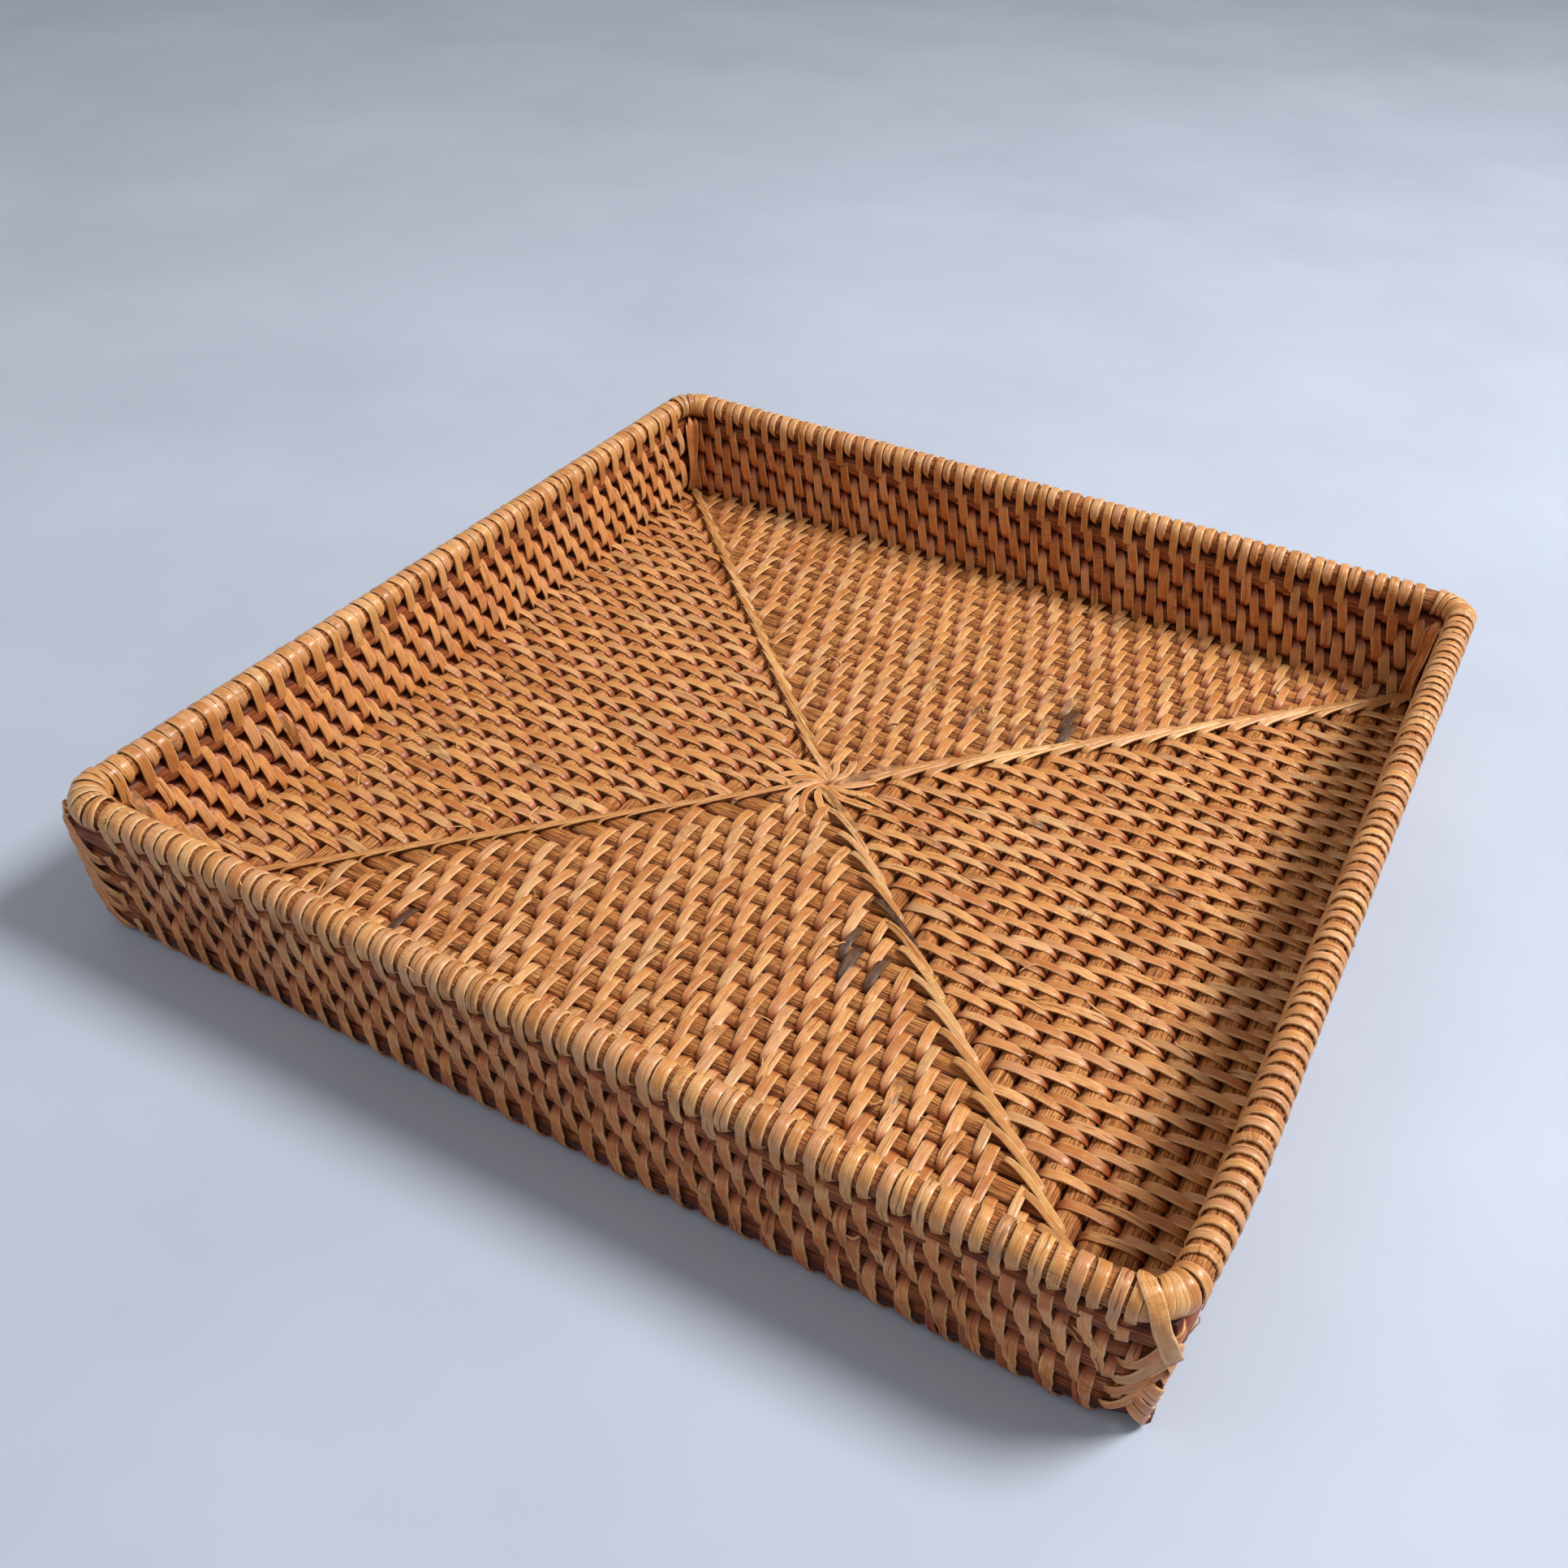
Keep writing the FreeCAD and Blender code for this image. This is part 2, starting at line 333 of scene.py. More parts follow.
def floor_binding(k):
    soup = Soup()
    a, b = RING[k], RING[k + 1]
    for q in range(4):
        rng = np.random.default_rng(1000 + 17 * k + 401 * q)
        limit = a[0] - 3.2
        cs = side_turns(rng, (k * 2.52 + q * 3.1) % STEP, limit)
        turns = []
        for i, c in enumerate(cs):
            tone, mark = looks(rng, "floor")
            pitch = (cs[i + 1] - c) if i + 1 < len(cs) else STEP
            li = rng.normal(-0.1, 0.45)
            de = STEP / 2
            mid = turned(np.array([[c, -(a[0] + b[0]) / 2, 0.0]]), q)[0]
            for sx, sy, dark in STAINS:
                if math.hypot(mid[0] - sx, mid[1] - sy) < 4.2:
                    mark = [0.0, 0.4, dark]
            # under paints shade on the run beneath the rods
            turns.append(dict(c=c - de, pitch=pitch, a=a, b=b, lo=3.2, li=li, delta=de,
                              w=float(np.clip(rng.normal(2.85, 0.24), 2.1, 3.4)), taper=0.10, tip=0.34, flip=True,
                              t=0.52 * rng.uniform(0.85, 1.15), lift=0.36 + max(0, rng.normal(0.03, 0.07)),
                              bulge=rng.uniform(0.2, 0.55), roll=rng.normal(0, 0.07), tone=tone, mark=mark, under=0.35))
        if turns:
            bind(soup, q, turns, k * 0.731 + q * 5.3, rng)
    return soup


def wall_binding(j):
    soup = Soup()
    a, b = WALL[j - 1], WALL[j]
    for q in range(4):
        rng = np.random.default_rng(5000 + 31 * j + 401 * q)
        cs = side_turns(rng, (4.4 * j + 1.7 * q - (1.2 if q > 1 else 0)) % STEP, 136.0, jitter=0.28, before=5.0 if q > 0 else 0.0)
        turns = []
        for i, c in enumerate(cs):
            tone, mark = looks(rng, "wall")
            pitch = (cs[i + 1] - c) if i + 1 < len(cs) else STEP
            # painted light and shade by side: the front and back walls' strips are made deeper, the left wall's paler,
            # and the back wall's get a little painted shade
            tone[0] = float(np.clip(tone[0] + (-0.15, 0.0, -0.1, 0.4)[q], 0, 1))
            turns.append(dict(c=c, pitch=pitch, a=a, b=b, shade=0.08 if q == 2 else 0.0, lo=rng.normal(0.7, 0.35), li=rng.normal(1.6, 0.35),
                              delta=4.3 + 0.2 * j, w=float(np.clip(rng.normal(3.2, 0.26), 2.5, 3.8)), taper=0.2, tip=0.86,
                              t=0.58 * rng.uniform(0.85, 1.12), lift=0.56 + max(0, rng.normal(0.0, 0.06)),
                              bulge=rng.uniform(0.15, 0.4), roll=rng.normal(0, 0.06), tone=tone, mark=mark, under=0.0))
        bind(soup, q, turns, 40 + j * 0.913 + q * 5.3, rng)
    return soup


# ------------------------------------------------------------------ the rods
def grooves(rng, sides, n):
    """Radial offsets (n, sides): lengthwise grooves that wander slowly."""
    base = rng.normal(0, 0.085, sides)
    s = np.linspace(0, 1, n, endpoint=False)[:, None] * 2 * np.pi
    out = np.tile(base, (n, 1))
    for w in (3, 7, 13, 29):
        out = out + 0.035 * np.sin(s * rng.integers(w, 2 * w, sides)[None, :] + rng.uniform(0, 6.28, sides)[None, :])
    return out


def square_rod(soup, rod, rad, seed, sides=30, pitch=4.5, wall=False, soft=0.0):
    half, z, _ = rod
    rng = np.random.default_rng(9000 + int(seed * 10))
    n = max(6, int(round(2 * half / pitch)))
    s = np.linspace(-1, 1, n + 1)[:-1]
    gap = min(0.7 / half, 0.1)
    s = np.unique(np.r_[s, -1 + gap, 1 - gap])
    ang = np.arange(sides) * 2 * np.pi / sides
    total = len(s) * 4
    g = grooves(rng, sides, total)
    V, A = [], []
    i = 0
    for q in range(4):
        for x in s:
            r = rad + g[i]
            d = half + r * np.cos(ang)
            p = np.stack([x * d, -d, z + r * np.sin(ang)], 1)
            p[:, :2] *= 1 - soft * max(0, 1 - (1 - abs(x)) * half / 3.5) ** 2 / half
            V.append(turned(p, q))
            A.append((q * 2 + 1 + x) * half)
            i += 1
    V = np.array(V)
    A = np.array(A)
    # painted shade: rod faces that look into the gaps to the next rods, top and bottom on the walls, sides and
    # underneath on the floor, are darkened through tone z
    gap = np.abs(np.sin(ang)) if wall else np.maximum(np.abs(np.cos(ang)), -np.sin(ang))
    lo_gap = 0.45 if wall else 0.80
    closed_tube(soup, V, A, ang * rad, seed, np.clip((gap - lo_gap) / (0.97 - lo_gap), 0, 1))


def closed_tube(soup, V, A, around, seed, gap=None):
    n, m = V.shape[:2]
    i = np.arange(n)[:, None]
    j = np.arange(m)[None, :]
    F = np.stack([i * m + j, ((i + 1) % n) * m + j, ((i + 1) % n) * m + (j + 1) % m, i * m + (j + 1) % m], -1)
    fib = np.empty((n, m, 3))
    fib[..., 0] = A[:, None] + seed * 91.0
    fib[..., 1] = around[None, :]
    fib[..., 2] = seed
    rng = np.random.default_rng(int(seed * 100) + 3)
    tone = np.zeros((n, m, 3))
    tone[..., 0] = 0.5 + 0.25 * np.sin(A / 23.0 + rng.uniform(0, 6))[:, None]
    tone[..., 1] = rng.random()
    # tone z: painted shade in the gaps between rods
    if gap is not None:
        tone[..., 2] = gap[None, :]
    soup.add(V.reshape(-1, 3), F.reshape(-1, 4), fib.reshape(-1, 3), tone.reshape(-1, 3), np.zeros((n * m, 3)))


def rim_path(n_flat=60, n_bend=10):
    """Closed centre line of the rim as (x, y, outward x, outward y)."""
    pts = []
    for q in range(4):
        for u in np.linspace(-RIM_FLAT, RIM_FLAT, n_flat, endpoint=False):
            pts.append((q, u, -RIM[0], 0.0, -1.0))
        for s in np.linspace(0, 1, n_bend, endpoint=False):
            an = -math.pi / 2 + s * math.pi / 2
            pts.append((q, RIM_FLAT + RIM_BEND * math.cos(an), -RIM_FLAT + RIM_BEND * math.sin(an), math.cos(an), math.sin(an)))
    out = []
    for q, x, y, ox, oy in pts:
        p = turned(np.array([[x, y, 0], [ox, oy, 0]], float), q)
        out.append((p[0, 0], p[0, 1], p[1, 0], p[1, 1]))
    return np.array(out)


def rim_core(soup, rad, seed, sides=32):
    path = rim_path()
    rng = np.random.default_rng(77)
    ang = np.arange(sides) * 2 * np.pi / sides
    g = grooves(rng, sides, len(path))
    r = rad + g
    V = np.empty((len(path), sides, 3))
    V[..., 0] = path[:, None, 0] + path[:, None, 2] * r * np.cos(ang)
    V[..., 1] = path[:, None, 1] + path[:, None, 3] * r * np.cos(ang)
    V[..., 2] = RIM[1] + r * np.sin(ang)
    A = np.r_[0, np.cumsum(np.hypot(*np.diff(path[:, :2], axis=0).T))]
    closed_tube(soup, V, A, ang * rad, seed)


# ---------------------------------------------------------------- materials
def mat(name):
    m = bpy.data.materials.new(name)
    m.use_nodes = True
    nt = m.node_tree
    nt.nodes.clear()
    out = nt.nodes.new("ShaderNodeOutputMaterial")
    bsdf = nt.nodes.new("ShaderNodeBsdfPrincipled")
    nt.links.new(bsdf.outputs[0], out.inputs[0])
    return m, nt, bsdf


class Net:
    """Small helper to wire shader nodes."""
    def __init__(self, nt):
        self.nt = nt

    def node(self, kind, **props):
        n = self.nt.nodes.new(kind)
        for k, v in props.items():
            setattr(n, k, v)
        return n

    def put(self, sock, v):
        if isinstance(v, bpy.types.NodeSocket):
            self.nt.links.new(v, sock)
        else:
            sock.default_value = v

    def attr(self, name):
        n = self.node("ShaderNodeAttribute", attribute_name=name)
        return n.outputs["Vector"]

    def split(self, v):
        n = self.node("ShaderNodeSeparateXYZ")
        self.put(n.inputs[0], v)
        return n.outputs

    def join(self, x, y, z):
        n = self.node("ShaderNodeCombineXYZ")
        for i, v in enumerate((x, y, z)):
            self.put(n.inputs[i], v)
        return n.outputs[0]

    def m(self, op, a, b=0.0, c=None, clamp=False):
        n = self.node("ShaderNodeMath", operation=op, use_clamp=clamp)
        self.put(n.inputs[0], a)
        self.put(n.inputs[1], b)
        if c is not None:
            self.put(n.inputs[2], c)
        return n.outputs[0]

    def noise(self, vec, scale=1.0, detail=3.0, rough=0.55, dist=0.0):
        n = self.node("ShaderNodeTexNoise")
        self.put(n.inputs["Vector"], vec)
        n.inputs["Scale"].default_value = scale
        n.inputs["Detail"].default_value = detail
        n.inputs["Roughness"].default_value = rough
        n.inputs["Distortion"].default_value = dist
        return n.outputs["Fac"]

    def ramp(self, fac, stops):
        n = self.node("ShaderNodeValToRGB")
        cr = n.color_ramp
        while len(cr.elements) < len(stops):
            cr.elements.new(0.5)
        for e, (pos, col) in zip(cr.elements, stops):
            e.position = pos
            e.color = (*col, 1) if len(col) == 3 else col
        self.put(n.inputs[0], fac)
        return n.outputs[0]

    def step(self, fac, lo, hi):
        n = self.node("ShaderNodeMapRange", interpolation_type="SMOOTHSTEP")
        self.put(n.inputs[0], fac)
        n.inputs[1].default_value = lo
        n.inputs[2].default_value = hi
        return n.outputs[0]

    def mix(self, fac, a, b, mode="MIX"):
        n = self.node("ShaderNodeMix", data_type="RGBA", blend_type=mode)
        self.put(n.inputs[0], fac)
        self.put(n.inputs[6], a if isinstance(a, bpy.types.NodeSocket) else (*a, 1))
        self.put(n.inputs[7], b if isinstance(b, bpy.types.NodeSocket) else (*b, 1))
        return n.outputs[2]


def lin(r, g, b):
    return tuple(((c / 255.0) / 12.92) if c / 255.0 <= 0.04045 else (((c / 255.0) + 0.055) / 1.055) ** 2.4 for c in (r, g, b))


def peel_material(name, pale, mid, deep, coat=0.15, rough=0.42):
    m, nt, bsdf = mat(name)
    g = Net(nt)
    fx, fy, fz = g.split(g.attr("fib"))
    tx, ty, painted_shade = g.split(g.attr("tone"))
    mx, my, mz = g.split(g.attr("mark"))
    seed = g.m("MULTIPLY", fz, 13.7)
    # fine lengthwise fibres, coarse lengthwise bands, blotches
    fine = g.noise(g.join(g.m("MULTIPLY", fx, 0.20), g.m("MULTIPLY", fy, 4.2), seed), 1.0, 3.0, 0.6)
    band = g.noise(g.join(g.m("MULTIPLY", fx, 0.06), g.m("MULTIPLY", fy, 1.5), seed), 1.0, 2.0, 0.5)
    blot = g.noise(g.join(g.m("MULTIPLY", fx, 0.35), g.m("MULTIPLY", fy, 0.5), seed), 1.0, 3.0, 0.6)
    # colour from the strip's own tone
    t = g.m("ADD", g.m("MULTIPLY", tx, 0.75), g.m("MULTIPLY", g.m("SUBTRACT", blot, 0.5), 0.9))
    base = g.ramp(t, [(0.0, deep), (0.42, mid), (0.85, pale)])
    pink = g.m("MULTIPLY", g.step(ty, 0.78, 0.86), 0.38)
    base = g.mix(pink, base, lin(214, 164, 128))
    grey = g.m("MULTIPLY", g.m("SUBTRACT", 1.0, g.step(ty, 0.06, 0.12)), 0.5)
    base = g.mix(grey, base, lin(196, 164, 118))
    # painted highlight: the sides and shoulders of the strip are lightened
    edge = g.node("ShaderNodeAttribute", attribute_name="edge").outputs["Fac"]
    base = g.mix(g.m("MULTIPLY", g.step(edge, 0.25, 1.0), 0.55), base, lin(248, 218, 166))
    fibre = g.step(fine, 0.30, 0.62)
    base = g.mix(g.m("MULTIPLY", g.m("SUBTRACT", 1.0, fibre), 0.66), base, lin(156, 92, 40))
    base = g.mix(g.m("MULTIPLY", g.m("SUBTRACT", 1.0, g.step(band, 0.32, 0.55)), 0.30), base, lin(176, 112, 56))
    # lengthwise split: a dark line that wanders
    wand = g.m("MULTIPLY", g.m("SUBTRACT", g.noise(g.join(g.m("MULTIPLY", fx, 0.12), 0.0, seed), 1.0, 2.0), 0.5), 1.6)
    line = g.m("ABSOLUTE", g.m("SUBTRACT", fy, wand))
    cut = g.m("MULTIPLY", g.m("SUBTRACT", 1.0, g.step(line, 0.07, 0.20)), mx)
    cut = g.m("MULTIPLY", cut, g.step(g.noise(g.join(g.m("MULTIPLY", fx, 0.18), 7.0, seed), 1.0, 1.0), 0.38, 0.52))
    base = g.mix(g.m("MULTIPLY", cut, 0.85), base, lin(92, 48, 22))
    # cross ticks
    tick = g.noise(g.join(g.m("MULTIPLY", fx, 3.4), g.m("MULTIPLY", fy, 0.25), seed), 1.0, 1.0, 0.4)
    tick = g.m("MULTIPLY", g.m("SUBTRACT", 1.0, g.step(tick, 0.34, 0.44)), my)
    base = g.mix(g.m("MULTIPLY", tick, 0.6), base, lin(120, 66, 30))
    # nodes and specks
    spot = g.noise(g.join(g.m("MULTIPLY", fx, 0.9), g.m("MULTIPLY", fy, 1.6), g.m("ADD", seed, 5.0)), 1.0, 2.0, 0.6)
    speck = g.step(spot, 0.70, 0.76)
    base = g.mix(g.m("MULTIPLY", speck, 0.8), base, lin(104, 54, 24))
    # stain
    stain = g.m("MULTIPLY", g.step(g.noise(g.join(g.m("MULTIPLY", fx, 0.25), g.m("MULTIPLY", fy, 0.6), g.m("ADD", seed, 9.0)), 1.0, 3.0), 0.38, 0.6), mz)
    stain = g.m("MAXIMUM", stain, g.m("MULTIPLY", g.step(mz, 0.82, 0.9), g.m("ADD", 0.62, g.m("MULTIPLY", fibre, 0.34))))
    base = g.mix(stain, base, lin(46, 22, 14))
    # painted shade, from tone z: darker where the strip dives between the rods, on its under run, on undersides and on
    # the back wall
    base = g.mix(g.m("MULTIPLY", g.step(painted_shade, 0.10, 0.9), 0.82), base, lin(182, 98, 40), "MULTIPLY")
    g.put(bsdf.inputs["Base Color"], base)
    rr = g.m("ADD", rough - 0.12, g.m("MULTIPLY", fine, 0.24))
    rr = g.m("ADD", rr, g.m("MULTIPLY", g.m("ADD", cut, speck), 0.2))
    g.put(bsdf.inputs["Roughness"], rr)
    bsdf.inputs["Coat Weight"].default_value = coat
    bsdf.inputs["Coat Roughness"].default_value = 0.22
    bsdf.inputs["Specular IOR Level"].default_value = 0.4
    h = g.m("ADD", g.m("MULTIPLY", fine, 0.55), g.m("MULTIPLY", band, 0.5))
    h = g.m("SUBTRACT", h, g.m("MULTIPLY", cut, 0.9))
    h = g.m("SUBTRACT", h, g.m("MULTIPLY", tick, 0.3))
    h = g.m("SUBTRACT", h, g.m("MULTIPLY", speck, 0.3))
    bump = g.node("ShaderNodeBump")
    bump.inputs["Strength"].default_value = 0.85
    bump.inputs["Distance"].default_value = 0.00045
    g.put(bump.inputs["Height"], h)
    g.nt.links.new(bump.outputs[0], bsdf.inputs["Normal"])
    return m


def core_material(name, pale, mid, deep, rough=0.5):
    m, nt, bsdf = mat(name)
    g = Net(nt)
    fx, fy, fz = g.split(g.attr("fib"))
    tx, ty, painted_shade = g.split(g.attr("tone"))
    seed = g.m("MULTIPLY", fz, 11.3)
    fib = g.noise(g.join(g.m("MULTIPLY", fx, 0.10), g.m("MULTIPLY", fy, 2.6), seed), 1.0, 3.0, 0.62)
    thin = g.noise(g.join(g.m("MULTIPLY", fx, 0.22), g.m("MULTIPLY", fy, 6.5), seed), 1.0, 2.0, 0.6)
    blot = g.noise(g.join(g.m("MULTIPLY", fx, 0.12), g.m("MULTIPLY", fy, 0.3), seed), 1.0, 3.0, 0.6)
    t = g.m("ADD", g.m("MULTIPLY", fib, 0.9), g.m("MULTIPLY", g.m("SUBTRACT", blot, 0.5), 0.8))
    t = g.m("ADD", t, g.m("MULTIPLY", g.m("SUBTRACT", tx, 0.5), 0.25))
    base = g.ramp(t, [(0.22, deep), (0.46, mid), (0.78, pale)])
    groove = g.m("SUBTRACT", 1.0, g.step(fib, 0.36, 0.50))
    base = g.mix(g.m("MULTIPLY", groove, 0.8), base, lin(96, 46, 16))
    hair = g.m("SUBTRACT", 1.0, g.step(thin, 0.34, 0.50))
    base = g.mix(g.m("MULTIPLY", hair, 0.6), base, lin(122, 62, 24))
    # painted shade: darker towards the gaps between the rods
    base = g.mix(g.m("MULTIPLY", g.step(painted_shade, 0.0, 1.0), 0.9), base, lin(118, 50, 18), "MULTIPLY")
    bsdf.inputs["Specular IOR Level"].default_value = 0.35
    g.put(bsdf.inputs["Base Color"], base)
    g.put(bsdf.inputs["Roughness"], g.m("ADD", rough - 0.1, g.m("MULTIPLY", thin, 0.25)))
    bsdf.inputs["Coat Weight"].default_value = 0.12
    bsdf.inputs["Coat Roughness"].default_value = 0.3
    h = g.m("ADD", g.m("MULTIPLY", g.step(fib, 0.30, 0.62), 0.8), g.m("MULTIPLY", g.step(thin, 0.3, 0.65), 0.45))
    bump = g.node("ShaderNodeBump")
    bump.inputs["Strength"].default_value = 0.9
    bump.inputs["Distance"].default_value = 0.0005
    g.put(bump.inputs["Height"], h)
    g.nt.links.new(bump.outputs[0], bsdf.inputs["Normal"])
    return m


PALE, MID, DEEP = lin(231, 179, 120), lin(211, 147, 82), lin(178, 105, 48)
M_FLOOR = peel_material("peel_floor", PALE, MID, DEEP, coat=0.24)
M_WALL = peel_material("peel_wall", lin(236, 172, 108), lin(216, 140, 78), lin(180, 100, 46), coat=0.12)
M_RIM = peel_material("peel_rim", lin(229, 180, 117), lin(212, 151, 85), lin(179, 110, 53), coat=0.3, rough=0.38)
M_MITRE = peel_material("peel_mitre", lin(232, 190, 134), lin(214, 162, 98), lin(184, 124, 66))
M_CORE = core_material("core_floor", lin(236, 174, 104), lin(216, 138, 70), lin(160, 86, 34))
M_RCORE = core_material("core_rim", lin(228, 160, 90), lin(198, 118, 56), lin(140, 68, 26))
# the wall and base rods get darker core colours than the floor: painted shade of the gaps between the wall strips
M_WCORE_SHADED = core_material("core_wall", lin(204, 120, 56), lin(174, 88, 36), lin(112, 48, 16))

# ------------------------------------------------------------------ assembly
for k in range(1, FLOOR + 1):
    s = Soup()
    square_rod(s, RING[k], RING[k][2] + 0.28, k * 1.37)
    build("core_ring_%02d" % k, s, M_CORE, ["floor_coil_%02d" % k], floor=True)
s = Soup()
square_rod(s, RING[FLOOR + 1], RING[FLOOR + 1][2] + 0.28, 31.1, soft=1.0)
build("core_base", s, M_WCORE_SHADED, ["base_coil"])
for j in range(1, 5):
    s = Soup()
    low = {1: 0.3, 4: -0.45}.get(j, 0.0)
    square_rod(s, (WALL[j][0], WALL[j][1] - low, 0), WALL[j][2] + 0.62 + abs(low) * 0.7, 33.0 + j * 1.9, wall=True, soft=1.25)
    build("core_wall_%d" % j, s, M_WCORE_SHADED, ["wall_coil_%d" % j])
s = Soup()
rim_core(s, RIM[2] - 0.05, 45.3)
build("core_rim", s, M_RCORE, ["rim_rod"])

for k in range(2, FLOOR + 1):
    build("peel_floor_%02d" % k, floor_binding(k), M_FLOOR, ["floor_binding_%02d" % k], floor=True)
for j in range(1, 5):
    build("peel_wall_%d" % j, wall_binding(j), M_WALL, ["wall_binding_%d" % j])


def rim_binding():
    soups = Soup()
    for q in range(4):
        rng = np.random.default_rng(7000 + 401 * q)
        cs = side_turns(rng, (4.4 * 5 + 1.7 * q) % 4.0, RIM_FLAT + 0.6, step=4.0, jitter=0.14)
        wide, grow = {0: (2.85, -0.15), 1: (2.5, 0.2), 2: (2.8, -0.1), 3: (3.1, 0.1)}[q]
        turns = []
        for i, c in enumerate(cs):
            tone, mark = looks(rng, "rim")
            if rng.random() < 0.7:
                tone[1] = 0.9 if round((c - (4.4 * 5 + 1.7 * q)) / 4.0) % 2 else 0.5
            pitch = (cs[i + 1] - c) if i + 1 < len(cs) else 4.0
            long = round((c - (4.4 * 5 + 1.7 * q)) / 4.0) % 2 == 0
            here = wide + grow * c / 136.0
            w = float(np.clip(rng.normal(here, 0.2), here - 0.45, here + 0.4))
            d = dict(c=c, pitch=pitch, a=WALL[4] if long else RIM, b=RIM if long else None, lo=0.6,
                     li=0.7, delta=2.7, w=w, taper=0.2, topdive=0.0, tip=0.8, t=0.66 * rng.uniform(0.9, 1.1),
                     lift=0.12 + max(0, rng.normal(0.03, 0.06)), bulge=rng.uniform(0.1, 0.3),
                     roll=rng.normal(0.03, 0.05), tone=tone, mark=mark)
            turns.append(d)
        bind(soups, q, turns, 70 + q * 5.3, rng)
    return soups


build("peel_rim", rim_binding(), M_RIM, ["rim_binding_long", "rim_binding_short"])


# ------------------------------------------------------------ floor diagonals
TOP = RING[1][1] + RING[1][2] + 0.35


def diagonal(q, width, thick, span, side, hook, lift):
    """Strips along the mitre between side q and side q + 1, from the centre out.

    Each one starts on side q and ends on side q + 1, and covers span rings.
    """
    soup = Soup()
    rng = np.random.default_rng(300 + q)
    out = np.array([1, -1, 0]) / math.sqrt(2)
    lat = np.array([-1, -1, 0]) / math.sqrt(2)
    for n in range(1, FLOOR + 1):
        r0 = RING[n][0] - 2.2 + rng.normal(0, 0.5)
        r1 = min(r0 + span * PITCH * rng.uniform(0.92, 1.08), RING[FLOOR + 1][0] + 0.5)
        if r1 - r0 < 6:
            continue
        a0, a1 = side * rng.uniform(0.85, 1.2), -side * rng.uniform(0.85, 1.15)
        pts, nrm = [], []
        for s, z, o in ((0.0, -1.0, 2.35), (0.04, 0.3, 2.1), (0.2, 0.6, 1.0), (0.5, 0.6 + lift, 0.05),
                        (0.8, 0.45 + lift, -0.7), (0.94, 0.0, -1.05), (1.0, -2.0, -1.25 - hook)):
            rr = (r0 + (r1 - r0) * s) * math.sqrt(2)
            oo = a0 * o if o > 0 else -a1 * o
            pts.append(out * rr + lat * oo + np.array([0, 0, TOP + 0.25 + z]))
            nrm.append(np.array([0, 0, 1.0]) + lat * 0.12 * o)
        loose(soup, q, pts, nrm, width * rng.uniform(0.85, 1.12), thick, rng, n=18, ends=(0.8, 0.6), dive=(0.08, 0.12),
              roll=rng.normal(0, 0.10), mark=[0, 0.3, 1.0] if (q, n) == (0, 6) else None,
              tone=[float(rng.uniform(0.0, 0.3)), 0.5] if rng.random() < (0.5, 0.3, 0.3, 0.9)[q] else None)
    return soup


build("diagonal_front", diagonal(0, 2.05, 0.5, 2.25, 1.35, 0.2, 0.1), M_MITRE, ["mitre_strips_front"], floor=True)
build("diagonal_right", diagonal(1, 2.6, 0.7, 2.5, 1.1, 0.0, 0.4), M_MITRE, ["mitre_strips_right"], floor=True)
build("diagonal_back", diagonal(2, 1.6, 0.45, 2.5, 0.8, 0.2, 0.2), M_MITRE, ["mitre_strips_back"], floor=True)
build("diagonal_left", diagonal(3, 1.15, 0.42, 3.0, 0.7, 1.6, 0.2), M_MITRE, ["mitre_strips_left"], floor=True)

# --------------------------------------------------------------- the centre
s = Soup()
rng = np.random.default_rng(12)
for i in range(14):
    an = 2 * math.pi * (i + 0.35) / 14 + rng.normal(0, 0.04)
    o = np.array([math.sin(an), -math.cos(an), 0])
    mx = max(abs(o[0]), abs(o[1]))
    far = (RING[2][0] + 1.0) / mx * rng.uniform(0.78, 1.2)
    pts, nrm = [], []
    for d, z in ((0.75, -4.2), (1.0, -1.2), (1.9, 0.15), (far * 0.5, 0.5), (far - 1.8, 0.35), (far + 0.4, -0.4), (far + 1.5, -2.6)):
        sw = 0.05 * d
        pts.append(np.array([math.cos(sw) * o[0] - math.sin(sw) * o[1], math.sin(sw) * o[0] + math.cos(sw) * o[1], 0]) * d
                   + np.array([0, 0, TOP + 0.25 + z]))
        nrm.append(np.array([0, 0, 1.0]) - o * (0.8 if d < 1.2 else 0.0) + o * (0.8 if d > far + 1 else 0))
    P, N = spline(pts, 18), spline(nrm, 18)
    dd = np.linalg.norm(P[:, :2], axis=1)
    w = np.clip(2 * math.pi * dd / 14 * 1.05, 0.5, 2.4 * rng.uniform(0.8, 1.1))
    tn, mk = looks(rng, "floor")
    # tone z: painted shade near the middle, where the strips dive down
    to = np.stack([np.full(18, tn[0]), np.full(18, tn[1]), np.clip(1 - dd / 2.0, 0, 1)], 1)
    ribbon(s, P, N, w, 0.5, to, np.tile(np.array(mk), (18, 1)), 61.0 + i, along0=i * 31.0)
build("peel_centre", s, M_FLOOR, ["centre_lashing"], floor=True)


# ------------------------------------------------------------ upright corners
def corner_point(w, z, off, rho=3.0):
    """w runs round the corner: below 0 on side q, above 0 on side q + 1."""
    t = np.clip((z - WALL[0][1]) / (RIM[1] - WALL[0][1]), 0, 1)
    h = WALL[0][0] + (RIM[0] - WALL[0][0]) * t + WALL[1][2] + 0.45 + off - rho
    lim = rho * math.pi / 4
    if w < -lim:
        return np.array([h + (w + lim), -h - rho, z]), np.array([0, -1.0, 0])
    if w > lim:
        return np.array([h + rho, -h + (w - lim), z]), np.array([1.0, 0, 0])
    an = -math.pi / 4 + w / rho
    return np.array([h + rho * math.cos(an), -h + rho * math.sin(an), z]), np.array([math.cos(an), math.sin(an), 0])


